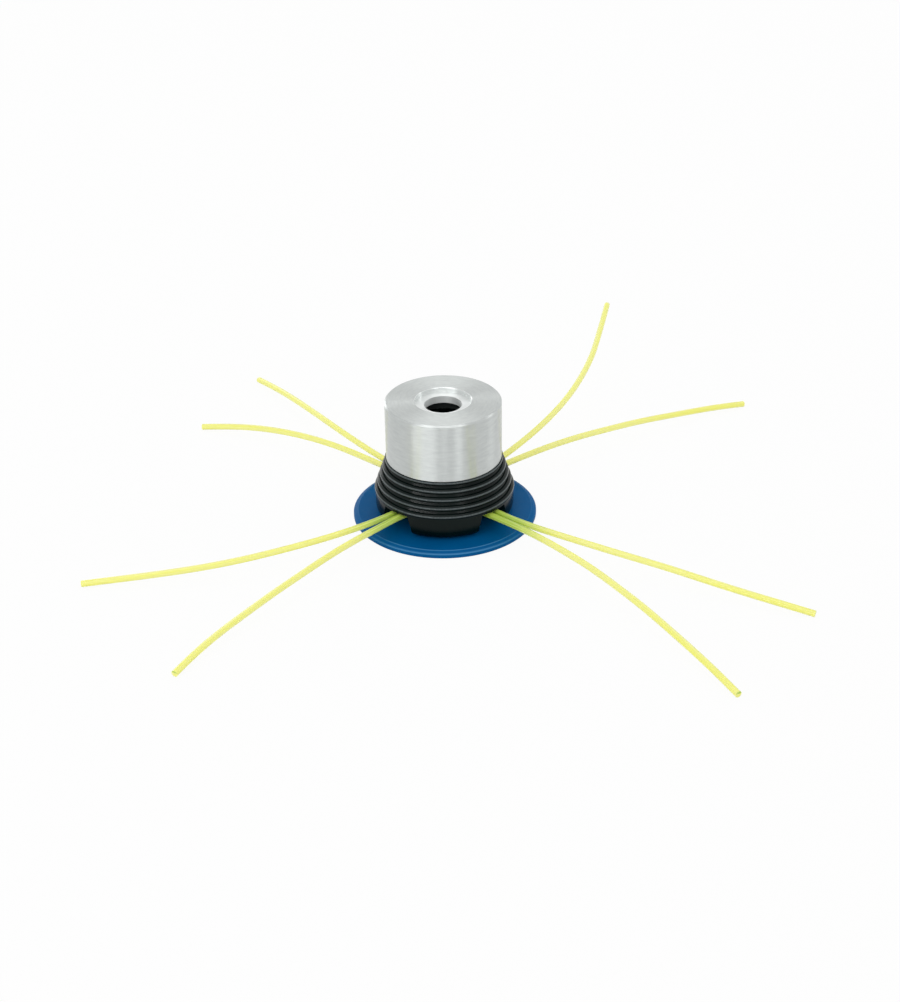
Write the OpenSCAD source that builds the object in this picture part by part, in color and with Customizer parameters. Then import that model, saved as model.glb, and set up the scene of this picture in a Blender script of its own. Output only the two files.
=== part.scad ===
// Fixed line trimmer head: a turned aluminium cap on a ribbed black line carrier
// and a blue base disc, with four nylon lines bent round the carrier's feet.
// Millimetres, +Z up. The origin is the centre of the base disc's underside.

/* [Base disc] */
// Diameter of the base disc
disc_d = 100; // [92:1:120]
// Thickness of the base disc
disc_t = 3.6; // [3:0.1:6]
// Width of the sloping band round the disc's edge
disc_band = 2.6; // [1:0.1:4]
// Height of that sloping band
disc_band_h = 1.1; // [0.4:0.1:1.6]
// Chamfer round the disc's edges
disc_chamfer = 0.4; // [0.2:0.1:1]

/* [Line carrier] */
// Diameter over the lowest ridge
rim_d = 76; // [74:0.5:80]
// Height of the feet, from the disc to the roof of the line track
foot_h = 12; // [10:0.5:16]
// Round along the lower outer edge of a foot
foot_round = 5; // [1:0.5:6]
// Half the width of a foot's flat underside
foot_base_w = 14; // [12:0.5:16]
// Radius of the rounded tips of a foot
foot_tip_r = 3; // [2:0.25:3.5]
// Number of ridges
ridges = 5; // [3:1:6]
// Height from one ridge to the next
ridge_pitch = 4.3; // [3.5:0.1:5]
// How far each ridge stands in from the one below
ridge_step = 1.5; // [1:0.1:2]
// Radius of a ridge's nose
ridge_nose = 1.6; // [1:0.1:1.9]
// Diameter of the open centre that the nut goes up through
access_d = 25; // [20:0.5:26]
// Wall of the centre post inside the line track
post_wall = 2.1; // [1.5:0.1:2.4]

/* [Aluminium cap] */
// Diameter of the cap
cap_d = 62.6; // [58:0.2:66]
// Height of the cap
cap_h = 32.9; // [26:0.1:44]
// Chamfer round the cap's top edge
cap_chamfer = 0.8; // [0.3:0.1:2]
// Chamfer round its other edges
small_chamfer = 0.3; // [0.2:0.1:0.5]
// Bore for the gearbox shaft
bore_d = 20; // [10:0.1:22]
// Diameter of the recess in the top face
recess_d = 30.6; // [26:0.2:40]
// Depth of that recess
recess_depth = 2.6; // [1:0.1:4]
// Thickness of the flange that the bore goes through
flange_t = 4; // [3:0.5:8]
// Diameter of the cavity under the flange
cavity_d = 35.6; // [34:0.2:38]
// Height of the room left under the flange for the arbor washer and nut
nut_room = 7; // [4:0.5:12]

/* [Screws] */
// Nominal screw diameter
screw_d = 5; // [4:0.5:5]
// Screw length, over the flush head
screw_len = 45; // [42:1:46]
// Diameter of the circle that the screws stand on
screw_pcd = 50; // [49:0.5:51]

/* [Trimming line] */
// Diameter of the nylon line
line_d = 3.5; // [2:0.1:3.5]
// Clearance between a line and the faces it runs along
line_gap = 0.5; // [0.3:0.1:0.6]

/* [Hidden] */
$fn = 96;
eps = 0.01;
feet = 4;

// Levels
line_z = 13;
roof_z = disc_t + foot_h;
rim_wall = 0.2;
ridge_z0 = roof_z + rim_wall + ridge_nose;
seat_rise = 0.9;
seat_z = ridge_z0 + (ridges - 1) * ridge_pitch + seat_rise;
cap_top = seat_z + cap_h;
flange_top = cap_top - recess_depth;
flange_under = flange_top - flange_t;
spigot_top = flange_under - nut_room;

// Fits
spigot_gap = 0.3;
screw_clear = 0.5;
thread_gap = 0.05;
head_gap = 0.05;
head_sunk = 0.1;
tap_run_out = 2;
tap_tip_r = 0.2;
facet_room = 0.15;

// Radii
rim_r = rim_d / 2;
rim_lip = 0.4;
foot_r = rim_r - rim_lip;
foot_mid = 32;
foot_lift = 4;
foot_flare = 2;
bend_x = 50.2;
bend_r = 33;
foot_inner_r = bend_r - line_d / 2 - line_gap - facet_room;
spigot_r = cavity_d / 2 - spigot_gap;
post_r = access_d / 2 + post_wall;
head_r = 0.96 * screw_d;
hex_af = 0.6 * screw_d;

function ridge_z(i) = ridge_z0 + i * ridge_pitch;
function ridge_r(i) = rim_r - i * ridge_step;

// A line's bend behind the front foot, from its middle to the mouth of the exit
half_bend = [[0, -17], [9, -18], [17.5, -22], [25, -28]];
// The free arms, from the exits to the tips
arm_front_left = [[-35, -37, 12], [-47, -48.5, 11.5], [-60, -62, 10.5], [-73, -77, 9],
    [-85.5, -92, 8], [-97.5, -107, 6.5], [-109.5, -122, 5], [-120, -138, 4], [-129.5, -154.5, 2]];
arm_front_right = [[36, -37, 12.5], [49, -48.5, 11.5], [62, -62.5, 10.5], [74.5, -78, 10],
    [86, -94, 8.5], [97, -110.5, 7.5], [107, -127, 6], [116.5, -144, 5], [126, -161, 3.5],
    [135, -179, 2]];
arm_right_front = [[40.5, -34.5, 12], [57.5, -45.5, 11.5], [76, -56, 10.5], [94.5, -65.5, 9],
    [112.5, -75, 8], [129.5, -84.5, 6.5], [147, -94, 5], [164.5, -103.5, 4], [183, -112, 2]];
arm_right_back = [[41.5, 38, 12], [59.5, 53, 11.5], [78.5, 67, 10.5], [97, 79, 9],
    [113.5, 89, 8], [130, 98, 6.5], [146, 106.5, 5], [163.5, 114.5, 4], [182, 122.5, 2]];
arm_back_right = [[38, 44, 14], [53.5, 66, 15.5], [68, 90, 17.5], [79, 112.5, 20],
    [86.5, 132.5, 22], [92.5, 151, 24], [97, 170.5, 26.5], [101.5, 191, 28], [106, 212.5, 30]];
arm_back_left = [[-37, 43.5, 12], [-51, 64.5, 11], [-65, 86.5, 10], [-76.5, 106, 8.5],
    [-86.5, 123, 7], [-96, 138.5, 5.5], [-105.5, 153, 4], [-116, 168, 2]];
arm_left_back = [[-41, 38.5, 12], [-57, 55.5, 11], [-75, 71.5, 9.5], [-92.5, 84.5, 7.5],
    [-109.5, 93.5, 6], [-126.5, 100, 4], [-144.5, 104, 2]];
arm_left_front = [[-42, -34, 12], [-61, -44.5, 11], [-82, -53.5, 10], [-103.5, -61, 8.5],
    [-124.5, -66, 7], [-145.5, -69, 5.5], [-166.5, -71, 4], [-187.5, -72, 2]];

line_sides = 8;
rings_per_point = 2;

// Routes and sweeps for the lines
function reversed(v) = [for (i = [len(v) - 1:-1:0]) v[i]];
function turned(p, a) = [p.x * cos(a) - p.y * sin(a), p.x * sin(a) + p.y * cos(a), line_z];
function bend_points(a) = concat(
    [for (p = reversed(half_bend)) turned([-p.x, p.y], a)],
    [for (i = [1:len(half_bend) - 1]) turned(half_bend[i], a)]);
function route(arm_a, a, arm_b) = concat(reversed(arm_a), bend_points(a), arm_b);

// A smooth curve along a route, held at both its ends
function weights(t) = [pow(1 - t, 3), 3 * pow(t, 3) - 6 * t * t + 4,
                       -3 * pow(t, 3) + 3 * t * t + 3 * t + 1, pow(t, 3)] / 6;
function blend(p, i, w) = w[0] * p[i] + w[1] * p[i + 1] + w[2] * p[i + 2] + w[3] * p[i + 3];
function held(p) = concat([p[0], p[0]], p, [p[len(p) - 1], p[len(p) - 1]]);
function smooth_from(p) = concat(
    [for (i = [0:len(p) - 4]) for (k = [0:rings_per_point - 1])
        blend(p, i, weights(k / rings_per_point))],
    [p[len(p) - 1]]);
function smooth(p) = smooth_from(held(p));

function unit(v) = v / norm(v);
function heading(c, i) = unit(c[min(i + 1, len(c) - 1)] - c[max(i - 1, 0)]);
function ring(c, i, r) = let (
    t = heading(c, i),
    side = unit(cross(t, [0, 0, 1])),
    up = cross(side, t))
    [for (k = [0:line_sides - 1]) let (a = (k + 0.5) * 360 / line_sides)
        c[i] + r / cos(180 / line_sides) * (cos(a) * side + sin(a) * up)];

module tube(c, r) {
    n = line_sides;
    last = len(c) - 1;
    points = [for (i = [0:last]) each ring(c, i, r)];
    walls = [for (i = [0:last - 1]) for (k = [0:n - 1])
        [i * n + k, i * n + (k + 1) % n, (i + 1) * n + (k + 1) % n, (i + 1) * n + k]];
    ends = [[for (k = [n - 1:-1:0]) k], [for (k = [0:n - 1]) last * n + k]];
    polyhedron(points, concat(walls, ends));
}

module line(arm_a, a, arm_b) {
    color("#d6e64a") tube(smooth(route(arm_a, a, arm_b)), line_d / 2);
}

module at_screws() {
    for (i = [0:feet - 1])
        rotate(i * 360 / feet) translate([screw_pcd / 2, 0, 0]) children();
}

// The turned cap
module cap() {
    c = cap_chamfer;
    k = small_chamfer;
    r = cap_d / 2;
    color("#c9cccd") difference() {
        rotate_extrude() polygon([[cavity_d / 2, seat_z], [r - k, seat_z], [r, seat_z + k],
            [r, cap_top - c], [r - c, cap_top], [recess_d / 2 + k, cap_top],
            [recess_d / 2, cap_top - k], [recess_d / 2, flange_top],
            [bore_d / 2, flange_top], [bore_d / 2, flange_under],
            [cavity_d / 2, flange_under]]);
        at_screws() tapped_hole();
    }
}

module tapped_hole() {
    depth = head_sunk + screw_len + tap_run_out - seat_z;
    r = screw_d / 2 + thread_gap;
    translate([0, 0, seat_z - eps]) cylinder(h = depth + eps, r = r);
    translate([0, 0, seat_z + depth]) cylinder(h = r / 2, r1 = r, r2 = tap_tip_r);
}

// The ribbed line carrier: a cone of ridges, a spigot in the cap and four feet
module carrier() {
    color("#1c1f1f") difference() {
        union() {
            cone();
            cylinder(h = spigot_top, r = post_r);
            translate([0, 0, roof_z]) cylinder(h = spigot_top - roof_z, r = spigot_r);
            for (i = [0:feet - 1]) rotate(i * 360 / feet) foot();
        }
        translate([0, 0, -eps]) cylinder(h = cap_top, d = access_d);
        translate([0, 0, -eps]) cylinder(h = disc_t + eps, r = rim_r);
        at_screws() cylinder(h = seat_z + eps, r = (screw_d + screw_clear) / 2);
    }
}

module cone() {
    top = ridges - 1;
    difference() {
        union() {
            translate([0, 0, roof_z]) cylinder(h = ridge_z0 - roof_z, r = rim_r - rim_lip / 2);
            translate([0, 0, ridge_z0]) cylinder(h = ridge_z(top) - ridge_z0,
                r1 = ridge_r(0) - ridge_nose, r2 = ridge_r(top) - ridge_nose);
            translate([0, 0, ridge_z(top)])
                cylinder(h = seat_z - ridge_z(top), r = ridge_r(top) - ridge_nose);
            for (i = [0:top])
                rotate_extrude() translate([ridge_r(i) - ridge_nose, ridge_z(i)])
                    circle(ridge_nose, $fn = 32);
        }
        translate([0, 0, seat_z]) cylinder(h = 2 * ridge_nose, r = rim_r);
    }
}

// A foot in plan: bounded by the outer circle and the line's bend, with rounded tips
module foot_plan() {
    a = foot_r - foot_tip_r;
    b = foot_inner_r - foot_tip_r;
    tip_y = -(bend_x * bend_x + a * a - b * b) / (2 * bend_x);
    tip_x = sqrt(a * a - tip_y * tip_y);
    out = [tip_x, tip_y] * foot_r / a;
    in = [0, -bend_x] + [tip_x, tip_y + bend_x] * foot_inner_r / b;
    intersection() {
        circle(foot_r);
        translate([0, -bend_x]) circle(foot_inner_r);
        polygon([in, out, [out.x, -bend_x], [-out.x, -bend_x], [-out.x, out.y],
                 [-in.x, in.y], [0, 0]]);
    }
    for (s = [-1, 1]) translate([s * tip_x, tip_y]) circle(foot_tip_r, $fn = 32);
}

module foot() {
    h = foot_h + eps;
    translate([0, 0, disc_t]) intersection() {
        linear_extrude(h) foot_plan();
        rotate_extrude() {
            square([foot_r - foot_round, foot_round]);
            translate([0, foot_round]) square([foot_r, h]);
            translate([foot_r - foot_round, foot_round]) circle(foot_round, $fn = 48);
        }
        translate([0, -foot_mid, 0]) foot_ends(h);
    }
}

// What rounds a foot's two ends: a bowl that is wider at its top
module foot_ends(h) {
    w = foot_base_w + foot_lift;
    rotate_extrude() {
        square([foot_base_w, foot_lift]);
        translate([foot_base_w, foot_lift]) circle(foot_lift, $fn = 48);
        polygon([[0, foot_lift], [w, foot_lift], [w + foot_flare, h], [0, h]]);
    }
}

// The base disc with its sloping band, access hole and countersinks
module base_disc() {
    r = disc_d / 2;
    k = disc_chamfer;
    color("#0a4c8c") difference() {
        rotate_extrude() polygon([[access_d / 2 + k, 0], [r - k, 0], [r, k],
            [r, disc_t - disc_band_h - k], [r - k, disc_t - disc_band_h],
            [r - disc_band, disc_t], [access_d / 2, disc_t], [access_d / 2, k]]);
        at_screws() {
            translate([0, 0, -eps]) cylinder(h = head_sunk + eps, r = head_r + head_gap);
            translate([0, 0, head_sunk]) cylinder(h = head_r, r1 = head_r + head_gap,
                r2 = head_gap);
            cylinder(h = disc_t + eps, r = (screw_d + screw_clear) / 2);
        }
    }
}

// Four countersunk screws with hexagon sockets
module screws() {
    color("#8d9093") at_screws() difference() {
        union() {
            translate([0, 0, head_sunk])
                cylinder(h = head_r - screw_d / 2, r1 = head_r, r2 = screw_d / 2);
            translate([0, 0, head_sunk]) cylinder(h = screw_len, r = screw_d / 2);
        }
        translate([0, 0, -eps]) cylinder(h = head_sunk + screw_d / 2, r = hex_af / sqrt(3),
            $fn = 6);
    }
}

module line_front() { line(arm_front_left, 0, arm_front_right); }
module line_right() { line(arm_right_front, 90, arm_right_back); }
module line_back() { line(arm_back_right, 180, arm_back_left); }
module line_left() { line(arm_left_back, 270, arm_left_front); }

cap();
carrier();
base_disc();
line_front();
line_right();
line_back();
line_left();
screws();
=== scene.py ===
import math

import bmesh
import bpy
from mathutils import Matrix, Vector


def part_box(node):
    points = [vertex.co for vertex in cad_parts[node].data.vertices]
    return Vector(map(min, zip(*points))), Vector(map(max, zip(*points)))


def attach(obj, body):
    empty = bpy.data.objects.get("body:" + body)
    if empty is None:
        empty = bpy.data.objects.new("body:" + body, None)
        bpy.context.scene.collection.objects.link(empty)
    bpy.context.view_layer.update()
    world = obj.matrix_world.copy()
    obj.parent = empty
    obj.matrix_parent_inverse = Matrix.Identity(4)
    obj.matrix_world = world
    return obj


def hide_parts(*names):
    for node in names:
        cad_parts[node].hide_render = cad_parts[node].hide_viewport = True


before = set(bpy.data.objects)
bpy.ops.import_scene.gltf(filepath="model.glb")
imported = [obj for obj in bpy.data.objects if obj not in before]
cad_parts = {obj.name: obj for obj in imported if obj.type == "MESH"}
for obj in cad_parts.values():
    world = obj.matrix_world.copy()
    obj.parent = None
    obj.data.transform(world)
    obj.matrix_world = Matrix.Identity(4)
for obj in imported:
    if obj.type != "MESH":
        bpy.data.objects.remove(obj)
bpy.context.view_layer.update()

MM = 0.001
HEAD = "root"

# Heights and radii that the frame gives, in metres
CAP_LOW, CAP_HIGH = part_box("cap")
DISC_LOW, DISC_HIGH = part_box("base_disc")
CAP_R = CAP_HIGH[0]
# The cap's recess and bore, and the underside of the flange that the bore goes through
RECESS_R = 15.3 * MM
BORE_R = 10 * MM
FLANGE_LOW = CAP_HIGH[2] - 6.6 * MM
DISC_R = DISC_HIGH[0]
DISC_TOP = DISC_HIGH[2]
# The disc's two edges: where its band starts, and where the band meets the side, and the
# reach of the painted highlight along them
BAND_R = DISC_R - 2.6 * MM
BAND_Z = DISC_TOP - 1.2 * MM
EDGE_HIGHLIGHT_REACH = 0.45 * MM
# The carrier's ridges: the lowest one's height, their spacing, and the painted highlight,
# a pale stripe on each, which lies a little above its middle
RIDGE_Z = 17.4 * MM
RIDGE_PITCH = 4.3 * MM
CREST_RISE = 0.4 * MM
CREST_HIGHLIGHT_REACH = 0.65 * MM
CREST_R = 29 * MM

# The photograph's view: a long lens, looking down at the head
IMAGE_W, IMAGE_H = 900, 1002
VIEW_DOWN = math.radians(29.38)
VIEW_ROLL = math.radians(-0.97)
VIEW_DISTANCE = 1.0
VIEW_FOCUS_PX = 1818.9
ORIGIN_PX = (445.0, 511.7)
SENSOR = 36.0

# The white of the floor as it is seen, and the room's light on dull surfaces
FLOOR_WHITE = 0.93
ROOM_LIGHT = 0.85
HEAD_MIDDLE = Vector((0, 0, 0.035))


def make_camera():
    """The camera, from where the origin lies in the photograph."""
    level = Vector((1, 0, 0))
    rise = Vector((0, math.sin(VIEW_DOWN), math.cos(VIEW_DOWN)))
    ahead = Vector((0, math.cos(VIEW_DOWN), -math.sin(VIEW_DOWN)))
    right = math.cos(VIEW_ROLL) * level + math.sin(VIEW_ROLL) * rise
    up = math.cos(VIEW_ROLL) * rise - math.sin(VIEW_ROLL) * level
    across = (ORIGIN_PX[0] - IMAGE_W / 2) * VIEW_DISTANCE / VIEW_FOCUS_PX
    above = (IMAGE_H / 2 - ORIGIN_PX[1]) * VIEW_DISTANCE / VIEW_FOCUS_PX
    place = -(across * right + above * up + VIEW_DISTANCE * ahead)
    data = bpy.data.cameras.new("camera")
    data.sensor_fit = "VERTICAL"
    data.sensor_height = SENSOR
    data.lens = SENSOR * VIEW_FOCUS_PX / IMAGE_H
    data.clip_start = 0.05
    data.clip_end = 20
    camera = bpy.data.objects.new("camera", data)
    turn = Matrix((right, up, -ahead)).transposed().to_4x4()
    camera.matrix_world = Matrix.Translation(place) @ turn
    bpy.context.collection.objects.link(camera)
    bpy.context.scene.camera = camera


# The trimming lines' routes, in millimetres, as the CAD solids follow them
LINE_Z = 13
HALF_BEND = [(0, -17), (9, -18), (17.5, -22), (25, -28)]
ARM_FRONT_LEFT = [(-35, -37, 12), (-47, -48.5, 11.5), (-60, -62, 10.5), (-73, -77, 9),
                  (-85.5, -92, 8), (-97.5, -107, 6.5), (-109.5, -122, 5),
                  (-120, -138, 4), (-129.5, -154.5, 2)]
ARM_FRONT_RIGHT = [(36, -37, 12.5), (49, -48.5, 11.5), (62, -62.5, 10.5),
                   (74.5, -78, 10), (86, -94, 8.5), (97, -110.5, 7.5), (107, -127, 6),
                   (116.5, -144, 5), (126, -161, 3.5), (135, -179, 2)]
ARM_RIGHT_FRONT = [(40.5, -34.5, 12), (57.5, -45.5, 11.5), (76, -56, 10.5),
                   (94.5, -65.5, 9), (112.5, -75, 8), (129.5, -84.5, 6.5), (147, -94, 5),
                   (164.5, -103.5, 4), (183, -112, 2)]
ARM_RIGHT_BACK = [(41.5, 38, 12), (59.5, 53, 11.5), (78.5, 67, 10.5), (97, 79, 9),
                  (113.5, 89, 8), (130, 98, 6.5), (146, 106.5, 5), (163.5, 114.5, 4),
                  (182, 122.5, 2)]
ARM_BACK_RIGHT = [(38, 44, 14), (53.5, 66, 15.5), (68, 90, 17.5), (79, 112.5, 20),
                  (86.5, 132.5, 22), (92.5, 151, 24), (97, 170.5, 26.5),
                  (101.5, 191, 28), (106, 212.5, 30)]
ARM_BACK_LEFT = [(-37, 43.5, 12), (-51, 64.5, 11), (-65, 86.5, 10), (-76.5, 106, 8.5),
                 (-86.5, 123, 7), (-96, 138.5, 5.5), (-105.5, 153, 4), (-116, 168, 2)]
ARM_LEFT_BACK = [(-41, 38.5, 12), (-57, 55.5, 11), (-75, 71.5, 9.5), (-92.5, 84.5, 7.5),
                 (-109.5, 93.5, 6), (-126.5, 100, 4), (-144.5, 104, 2)]
ARM_LEFT_FRONT = [(-42, -34, 12), (-61, -44.5, 11), (-82, -53.5, 10), (-103.5, -61, 8.5),
                  (-124.5, -66, 7), (-145.5, -69, 5.5), (-166.5, -71, 4),
                  (-187.5, -72, 2)]
# Each line: its node, the turn of its bend, and its two arms
LINES = [("line_front", 0, ARM_FRONT_LEFT, ARM_FRONT_RIGHT),
         ("line_right", 90, ARM_RIGHT_FRONT, ARM_RIGHT_BACK),
         ("line_back", 180, ARM_BACK_RIGHT, ARM_BACK_LEFT),
         ("line_left", 270, ARM_LEFT_BACK, ARM_LEFT_FRONT)]
LINE_D = 3.5
STEPS = 8


def half_route(turn, side, arm):
    """The route of one arm, from two points past the middle of the bend to its tip."""
    a = math.radians(turn)
    half = [(-side * x, y) for x, y in reversed(HALF_BEND[1:])]
    half += [(side * x, y) for x, y in HALF_BEND]
    bend = [Vector((x * math.cos(a) - y * math.sin(a), x * math.sin(a) + y * math.cos(a),
                    LINE_Z)) for x, y in half]
    return bend[len(HALF_BEND) - 2:] + [Vector(p) for p in arm]


def smooth(points):
    """The smooth curve along a route that starts one point before its own first place."""
    points = points + [points[-1]] * 2
    curve = []
    for i in range(len(points) - 3):
        for k in range(STEPS):
            t = k / STEPS
            w = ((1 - t) ** 3, 3 * t ** 3 - 6 * t * t + 4,
                 -3 * t ** 3 + 3 * t * t + 3 * t + 1, t ** 3)
            curve.append(sum((w[j] * points[i + j] for j in range(4)), Vector()) / 6)
    return curve + [points[-1]]


def make_arm(node, name, turn, side, arm):
    """One arm of a line, from the middle of its bend behind the foot to its cut tip."""
    path = [p * MM for p in smooth(half_route(turn, side, arm))]
    data = bpy.data.curves.new(name, "CURVE")
    data.dimensions = "3D"
    data.bevel_depth = LINE_D / 2 * MM
    data.bevel_resolution = 6
    data.use_fill_caps = True
    spline = data.splines.new("POLY")
    spline.points.add(len(path) - 1)
    for point, place in zip(spline.points, path):
        point.co = (*place, 1)
    rod = bpy.data.objects.new(name + "_rod", data)
    mesh = bpy.data.meshes.new_from_object(rod)
    bpy.data.objects.remove(rod)
    mesh.name = name
    for face in mesh.polygons:
        face.use_smooth = len(face.vertices) == 4
    piece = bpy.data.objects.new(name, mesh)
    bpy.context.collection.objects.link(piece)
    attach(piece, HEAD)
    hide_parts(node)
    mesh.materials.clear()
    mesh.materials.append(nylon_line())
    return piece


def make_lines():
    for node, turn, arm_a, arm_b in LINES:
        make_arm(node, node + "_arm_a", turn, -1, arm_a)
        make_arm(node, node + "_arm_b", turn, 1, arm_b)


# Materials
def linear(code):
    """A colour socket's value from an sRGB hex code."""
    parts = [int(code[i:i + 2], 16) / 255 for i in (1, 3, 5)]
    return tuple(c / 12.92 if c <= 0.04045 else ((c + 0.055) / 1.055) ** 2.4
                 for c in parts) + (1.0,)


class Finish:
    """A material with its shader, and one way to add a node to it."""

    def __init__(self, name):
        self.material = bpy.data.materials.new(name)
        self.material.use_nodes = True
        self.tree = self.material.node_tree
        self.shader = self.tree.nodes["Principled BSDF"]

    def add(self, kind, settings=None, **inputs):
        """Adds a node; an input is a value, or a node's output to link."""
        node = self.tree.nodes.new("ShaderNode" + kind)
        for key, value in (settings or {}).items():
            setattr(node, key, value)
        for key, value in inputs.items():
            self.put(node, key, value)
        return node

    def put(self, node, key, value):
        """Sets or links an input, by its name or by its number after 'i'."""
        if key[0] == "i" and key[1:].isdigit():
            socket = node.inputs[int(key[1:])]
        else:
            socket = node.inputs[key.replace("_", " ")]
        if isinstance(value, bpy.types.NodeSocket):
            self.tree.links.new(value, socket)
        else:
            socket.default_value = value

    def set(self, **inputs):
        for key, value in inputs.items():
            self.put(self.shader, key, value)

    def place(self):
        """Object coordinates, in metres."""
        return self.add("TexCoord").outputs["Object"]

    def ramp(self, factor, stops):
        """A colour ramp from a list of (place, colour)."""
        node = self.add("ValToRGB", Fac=factor)
        line = node.color_ramp
        while len(line.elements) < len(stops):
            line.elements.new(0.5)
        for element, (at, colour) in zip(line.elements, stops):
            element.position = at
            element.color = colour
        return node.outputs["Color"]


def grey(value):
    return (value, value, value, 1.0)


def height_of(finish):
    """The height above the disc's underside."""
    return finish.add("SeparateXYZ", Vector=finish.place()).outputs["Z"]


def radius_of(finish):
    """The distance from the head's axis."""
    place = finish.add("SeparateXYZ", Vector=finish.place())
    x, y = place.outputs["X"], place.outputs["Y"]
    square = finish.add("Math", {"operation": "MULTIPLY"}, i0=x, i1=x).outputs[0]
    both = finish.add("Math", {"operation": "MULTIPLY_ADD"}, i0=y, i1=y, i2=square)
    return finish.add("Math", {"operation": "SQRT"}, i0=both.outputs[0]).outputs[0]


def near(finish, value, level, reach):
    """1 at a level of a value, and 0 from a reach away."""
    away = finish.add("Math", {"operation": "SUBTRACT"}, i0=value, i1=level).outputs[0]
    size = finish.add("Math", {"operation": "ABSOLUTE"}, i0=away).outputs[0]
    return finish.add("MapRange", Value=size, From_Min=0.0, From_Max=reach, To_Min=1.0,
                      To_Max=0.0).outputs[0]


def turning(finish, around, out, up):
    """Coordinates for a turned finish: slow round the axis, fine outwards and upwards."""
    place = finish.add("SeparateXYZ", Vector=finish.place())
    x, y, z = (place.outputs[k] for k in "XYZ")
    angle = finish.add("Math", {"operation": "ARCTAN2"}, i0=y, i1=x).outputs[0]
    radius = radius_of(finish)
    c = finish.add("Math", {"operation": "MULTIPLY"}, i0=angle, i1=around).outputs[0]
    r = finish.add("Math", {"operation": "MULTIPLY"}, i0=radius, i1=out).outputs[0]
    h = finish.add("Math", {"operation": "MULTIPLY"}, i0=z, i1=up).outputs[0]
    return finish.add("CombineXYZ", X=c, Y=r, Z=h).outputs[0]


def turned_aluminium():
    """Aluminium turned on a lathe and left bare: satin, with fine rings that stretch
    reflections across themselves. Its bore is reamed, so it is duller. The recess and its
    bore are painted paler, a painted light, and the hollow under the flange is dull and
    darker."""
    finish = Finish("turned_aluminium_satin")
    # Tool marks of about 0.4 mm, which a lathe feed of 0.2 mm a turn leaves in pairs
    marks = finish.add("TexNoise", Vector=turning(finish, 0.5, 2600, 2600), Scale=1.0,
                       Detail=3.0, Roughness=0.6)
    grain = finish.add("TexNoise", Vector=turning(finish, 5.0, 900, 700), Scale=1.0,
                       Detail=3.0, Roughness=0.6)
    tone = finish.ramp(grain.outputs["Fac"], [(0.3, linear("#babebd")),
                                              (0.7, linear("#c6cac8"))])
    bright = finish.add("MapRange", Value=marks.outputs["Fac"], From_Min=0.3,
                        From_Max=0.7, To_Min=0.30, To_Max=0.36).outputs[0]
    out, up = radius_of(finish), height_of(finish)
    reamed = finish.add("MapRange", Value=out, From_Min=BORE_R + 0.4 * MM,
                        From_Max=BORE_R + 0.2 * MM).outputs[0]
    # The hollow under the flange is coloured darker and made dull
    below = finish.add("MapRange", Value=up, From_Min=FLANGE_LOW + 0.1 * MM,
                       From_Max=FLANGE_LOW - 0.1 * MM).outputs[0]
    within = finish.add("MapRange", Value=out, From_Min=CAP_R - 3 * MM,
                        From_Max=CAP_R - 4 * MM).outputs[0]
    hollow = finish.add("Math", {"operation": "MULTIPLY"}, i0=below, i1=within).outputs[0]
    # Painted light: the recess and the bore in it are painted a paler aluminium
    sunk = finish.add("MapRange", Value=out, From_Min=RECESS_R + 0.3 * MM,
                      From_Max=RECESS_R + 0.1 * MM).outputs[0]
    recess_painted_light = finish.add("Mix", {"data_type": "RGBA"}, i0=sunk, i6=tone,
                       i7=linear("#e4e7e6")).outputs[2]
    colour = finish.add("Mix", {"data_type": "RGBA"}, i0=hollow, i6=recess_painted_light,
                        i7=linear("#4c5150")).outputs[2]
    dull = finish.add("Math", {"operation": "MAXIMUM"}, i0=reamed, i1=hollow).outputs[0]
    rough = finish.add("Mix", i0=dull, i2=bright, i3=0.7).outputs[0]
    bump = finish.add("Bump", Height=marks.outputs["Fac"], Strength=0.08,
                      Distance=0.00005)
    axis = finish.add("Tangent", {"direction_type": "RADIAL", "axis": "Z"})
    finish.set(Base_Color=colour, Metallic=1.0, Roughness=rough, Anisotropic=0.93,
               Anisotropic_Rotation=0.25, Tangent=axis.outputs[0],
               Normal=bump.outputs[0])
    return finish.material


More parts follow.
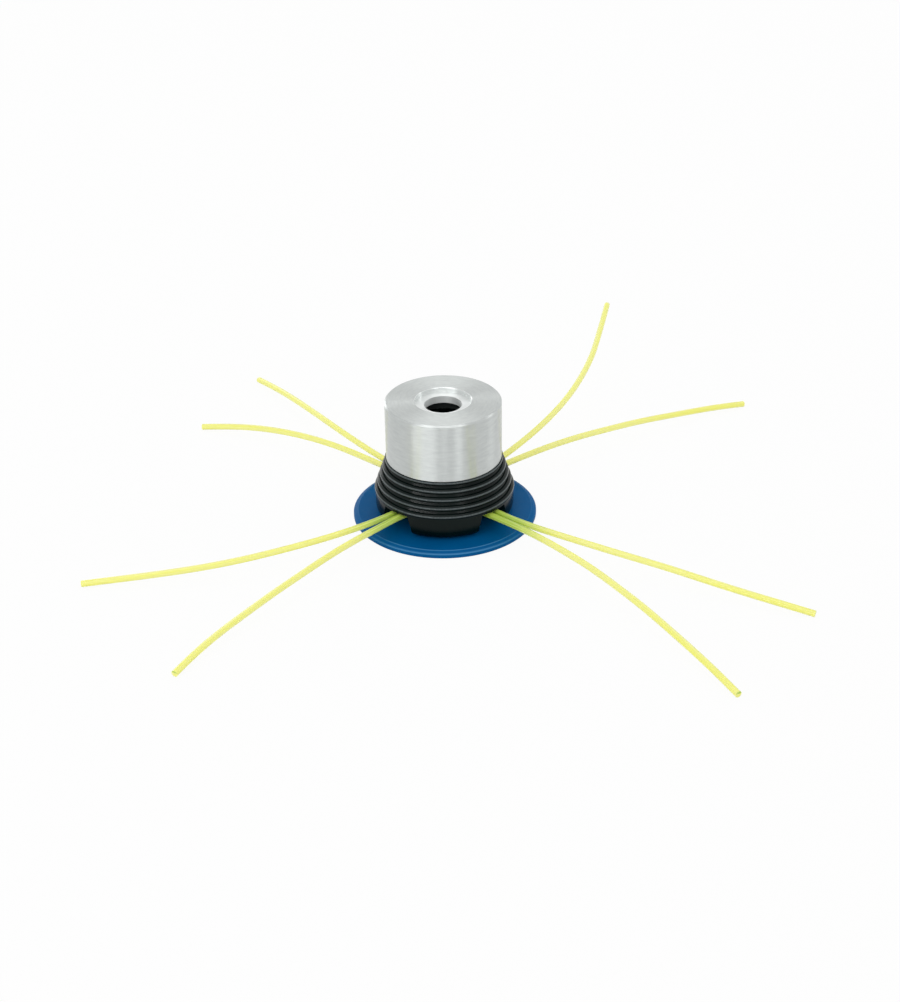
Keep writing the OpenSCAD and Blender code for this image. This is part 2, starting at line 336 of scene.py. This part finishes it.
def black_nylon():
    """Glass-filled nylon, moulded: near black with a green cast, satin, faintly mottled
    where the glass lies near the skin."""
    finish = Finish("black_nylon_moulded")
    place = finish.place()
    mottle = finish.add("TexNoise", Vector=place, Scale=900.0, Detail=4.0, Roughness=0.6)
    cloud = finish.add("TexNoise", Vector=place, Scale=60.0, Detail=2.0)
    tone = finish.ramp(cloud.outputs["Fac"], [(0.35, linear("#030e0c")),
                                              (0.7, linear("#061513"))])
    rough = finish.add("MapRange", Value=mottle.outputs["Fac"], From_Min=0.3,
                       From_Max=0.7, To_Min=0.16, To_Max=0.22)
    bump = finish.add("Bump", Height=mottle.outputs["Fac"], Strength=0.06,
                      Distance=0.0001)
    # Painted highlight: a pale stripe on each ridge's crest, broken by the mottle
    up = height_of(finish)
    turn = finish.add("Math", {"operation": "MULTIPLY_ADD"}, i0=up, i1=1 / RIDGE_PITCH,
                      i2=0.5 - RIDGE_Z / RIDGE_PITCH).outputs[0]
    part = finish.add("Math", {"operation": "FRACT"}, i0=turn).outputs[0]
    stripe = near(finish, part, 0.5 + CREST_RISE / RIDGE_PITCH, CREST_HIGHLIGHT_REACH / RIDGE_PITCH)
    above = finish.add("Math", {"operation": "GREATER_THAN"}, i0=up,
                       i1=RIDGE_Z - RIDGE_PITCH / 2).outputs[0]
    outside = finish.add("Math", {"operation": "GREATER_THAN"}, i0=radius_of(finish),
                         i1=CREST_R).outputs[0]
    there = finish.add("Math", {"operation": "MULTIPLY"}, i0=above, i1=outside).outputs[0]
    crest_highlight = finish.add("Math", {"operation": "MULTIPLY"}, i0=stripe, i1=there).outputs[0]
    highlight_mask = finish.add("MapRange", Value=mottle.outputs["Fac"], From_Min=0.3,
                        From_Max=0.6, To_Min=0.55).outputs[0]
    share = finish.add("Math", {"operation": "MULTIPLY"}, i0=crest_highlight, i1=highlight_mask).outputs[0]
    colour = finish.add("Mix", {"data_type": "RGBA"}, i0=share, i6=tone,
                        i7=linear("#666e70")).outputs[2]
    finish.set(Base_Color=colour, Roughness=rough.outputs[0], Specular_IOR_Level=0.12,
               Normal=bump.outputs[0])
    return finish.material


def blue_nylon():
    """Moulded nylon in a deep blue: satin, even, with a faint cloud in the colour, and a
    painted highlight along its two top edges, strongest at the front.
    """
    finish = Finish("blue_nylon_moulded")
    place = finish.place()
    grain = finish.add("TexNoise", Vector=place, Scale=700.0, Detail=3.0)
    cloud = finish.add("TexNoise", Vector=place, Scale=35.0, Detail=2.0)
    tone = finish.ramp(cloud.outputs["Fac"], [(0.3, linear("#00558d")),
                                              (0.7, linear("#015c97"))])
    rough = finish.add("MapRange", Value=grain.outputs["Fac"], From_Min=0.3,
                       From_Max=0.7, To_Min=0.36, To_Max=0.46)
    bump = finish.add("Bump", Height=grain.outputs["Fac"], Strength=0.05,
                      Distance=0.0001)
    # Painted highlight: a paler blue along the band's two edges, strongest at the front
    highlight_mask = finish.add("Math", {"operation": "MAXIMUM"},
                        i0=near(finish, radius_of(finish), BAND_R, EDGE_HIGHLIGHT_REACH),
                        i1=near(finish, height_of(finish), BAND_Z, EDGE_HIGHLIGHT_REACH)).outputs[0]
    front = finish.add("SeparateXYZ", Vector=place).outputs["Y"]
    share = finish.add("MapRange", {"interpolation_type": "SMOOTHSTEP"}, Value=front,
                       From_Min=-0.9 * DISC_R, From_Max=-0.45 * DISC_R, To_Min=0.6,
                       To_Max=0.08).outputs[0]
    part = finish.add("Math", {"operation": "MULTIPLY"}, i0=highlight_mask, i1=share).outputs[0]
    tone_with_highlight = finish.add("Mix", {"data_type": "RGBA"}, i0=part, i6=tone,
                      i7=linear("#5e9fd0")).outputs[2]
    finish.set(Base_Color=tone_with_highlight, Roughness=rough.outputs[0], Specular_IOR_Level=0.04,
               Normal=bump.outputs[0])
    return finish.material


def nylon_line():
    """Extruded nylon line: lime yellow, smooth, with faint draw streaks. It is clear
    enough to take the colour of what lies behind it, and that is painted: near the head
    the front arms are a darker lime, a painted shade of the dark head seen through them."""
    if "yellow_nylon_line" in bpy.data.materials:
        return bpy.data.materials["yellow_nylon_line"]
    finish = Finish("yellow_nylon_line")
    along = finish.add("TexCoord").outputs["UV"]
    # U runs along an arm and V round it, so the streaks are long and narrow
    drawn = finish.add("Mapping", Vector=along, Scale=(3.0, 9.0, 1.0)).outputs[0]
    streak = finish.add("TexNoise", Vector=drawn, Scale=1.0, Detail=1.5, Roughness=0.5)
    pale = finish.ramp(streak.outputs["Fac"], [(0.3, linear("#fcfb7a")),
                                               (0.7, linear("#fffea0"))])
    # Painted shade: a darker lime near the exits of the front arms, for the dark head seen
    # through the line
    lime_painted_shade = finish.ramp(streak.outputs["Fac"], [(0.3, linear("#a2c61c")),
                                                (0.7, linear("#e4f28c"))])
    spot = finish.add("SeparateXYZ", Vector=along).outputs["X"]
    away = finish.add("MapRange", {"interpolation_type": "SMOOTHSTEP"}, Value=spot,
                      From_Min=0.28, From_Max=0.41).outputs[0]
    side = finish.add("SeparateXYZ", Vector=finish.place()).outputs["Y"]
    rear = finish.add("MapRange", {"interpolation_type": "SMOOTHSTEP"}, Value=side,
                      From_Min=-20 * MM, From_Max=20 * MM).outputs[0]
    pale_share = finish.add("Math", {"operation": "MAXIMUM"}, i0=away, i1=rear).outputs[0]
    tone = finish.add("Mix", {"data_type": "RGBA"}, i0=pale_share, i6=lime_painted_shade, i7=pale).outputs[2]
    rough = finish.add("MapRange", Value=streak.outputs["Fac"], From_Min=0.3,
                       From_Max=0.7, To_Min=0.22, To_Max=0.34)
    finish.set(Base_Color=tone, Roughness=rough.outputs[0], IOR=1.53,
               Subsurface_Weight=0.3, Subsurface_Radius=(1.0, 1.0, 0.4),
               Subsurface_Scale=0.8 * MM)
    return finish.material


def plated_steel():
    """Zinc-plated steel: grey, satin, slightly mottled."""
    finish = Finish("zinc_plated_steel")
    spots = finish.add("TexNoise", Vector=finish.place(), Scale=500.0, Detail=3.0)
    tone = finish.ramp(spots.outputs["Fac"], [(0.3, linear("#9a9da0")),
                                              (0.7, linear("#b4b6b8"))])
    finish.set(Base_Color=tone, Metallic=1.0, Roughness=0.35)
    return finish.material


def dress(node, material):
    """Gives a CAD node its finish."""
    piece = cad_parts[node]
    piece.data.materials.clear()
    piece.data.materials.append(material)


# Floor, background and lights
def seen_directly(tree):
    """1 for rays from the camera, and for those that metal and clear nylon send on."""
    path = tree.nodes.new("ShaderNodeLightPath")
    value = path.outputs["Is Camera Ray"]
    for name in ("Is Glossy Ray", "Is Transmission Ray"):
        node = tree.nodes.new("ShaderNodeMath")
        node.operation = "MAXIMUM"
        tree.links.new(value, node.inputs[0])
        tree.links.new(path.outputs[name], node.inputs[1])
        value = node.outputs[0]
    return value


def make_floor():
    """A white floor that shows as white, with a share of the object's shadow."""
    mesh = bpy.data.meshes.new("floor")
    shape = bmesh.new()
    bmesh.ops.create_grid(shape, x_segments=1, y_segments=1, size=3.0)
    shape.to_mesh(mesh)
    shape.free()
    floor = bpy.data.objects.new("floor", mesh)
    bpy.context.collection.objects.link(floor)
    finish = Finish("white_floor")
    tree = finish.tree
    share = finish.add("Math", {"operation": "MULTIPLY"}, i0=seen_directly(tree),
                       i1=FLOOR_WHITE).outputs[0]
    finish.set(Base_Color=linear("#f4f4f4"), Roughness=0.9, Specular_IOR_Level=0.1)
    glow = finish.add("Emission", Color=grey(1.0), Strength=1.0)
    mix = finish.add("MixShader", i0=share, i1=finish.shader.outputs[0],
                     i2=glow.outputs[0])
    tree.links.new(mix.outputs[0], tree.nodes["Material Output"].inputs["Surface"])
    mesh.materials.append(finish.material)


def make_world():
    world = bpy.data.worlds.new("white_room")
    bpy.context.scene.world = world
    world.use_nodes = True
    tree = world.node_tree
    back = tree.nodes["Background"]
    back.inputs["Color"].default_value = grey(1.0)
    strength = tree.nodes.new("ShaderNodeMapRange")
    strength.inputs["To Min"].default_value = ROOM_LIGHT
    strength.inputs["To Max"].default_value = 1.0
    tree.links.new(seen_directly(tree), strength.inputs["Value"])
    tree.links.new(strength.outputs[0], back.inputs["Strength"])


def make_lamp(name, azimuth, elevation, distance, size, radiance, dull=True):
    """A soft box that faces the head; azimuth 0 is the camera's side, and to the
    right is positive. A lamp that isn't dull only shows in glossy surfaces."""
    a, e = math.radians(azimuth), math.radians(elevation)
    place = Vector((math.sin(a) * math.cos(e), -math.cos(a) * math.cos(e),
                    math.sin(e))) * distance + HEAD_MIDDLE
    data = bpy.data.lights.new(name, "AREA")
    data.shape = "RECTANGLE"
    data.size, data.size_y = size
    data.energy = radiance * math.pi * size[0] * size[1]
    lamp = bpy.data.objects.new(name, data)
    lamp.location = place
    lamp.rotation_euler = (HEAD_MIDDLE - place).to_track_quat("-Z", "Y").to_euler()
    lamp.visible_camera = False
    lamp.visible_diffuse = dull
    bpy.context.collection.objects.link(lamp)


def make_lamps():
    make_lamp("key_left", -40, 35, 1.4, (0.8, 0.5), 1.4)
    make_lamp("low_left", -36, 3, 1.3, (1.1, 0.03), 34.0, dull=False)
    make_lamp("low_middle", 1, 3, 1.3, (0.24, 0.02), 20.0, dull=False)
    make_lamp("low_right", 27, 3, 1.3, (0.3, 0.03), 30.0, dull=False)
    make_lamp("front", 0, 30, 1.3, (0.5, 0.3), 1.2, dull=False)
    make_lamp("side_right", 100, 14, 1.3, (0.3, 0.5), 2.0, dull=False)
    make_lamp("side_left", -150, 14, 1.3, (0.4, 0.5), 2.0, dull=False)
    make_lamp("above", 0, 78, 1.3, (1.2, 0.3), 3.2, dull=False)
    make_lamp("back", 180, 50, 1.4, (0.6, 0.16), 2.5)


make_camera()
make_lines()
dress("cap", turned_aluminium())
dress("carrier", black_nylon())
dress("base_disc", blue_nylon())
dress("screws", plated_steel())
make_floor()
make_world()
make_lamps()
bpy.context.scene.view_settings.view_transform = "Standard"
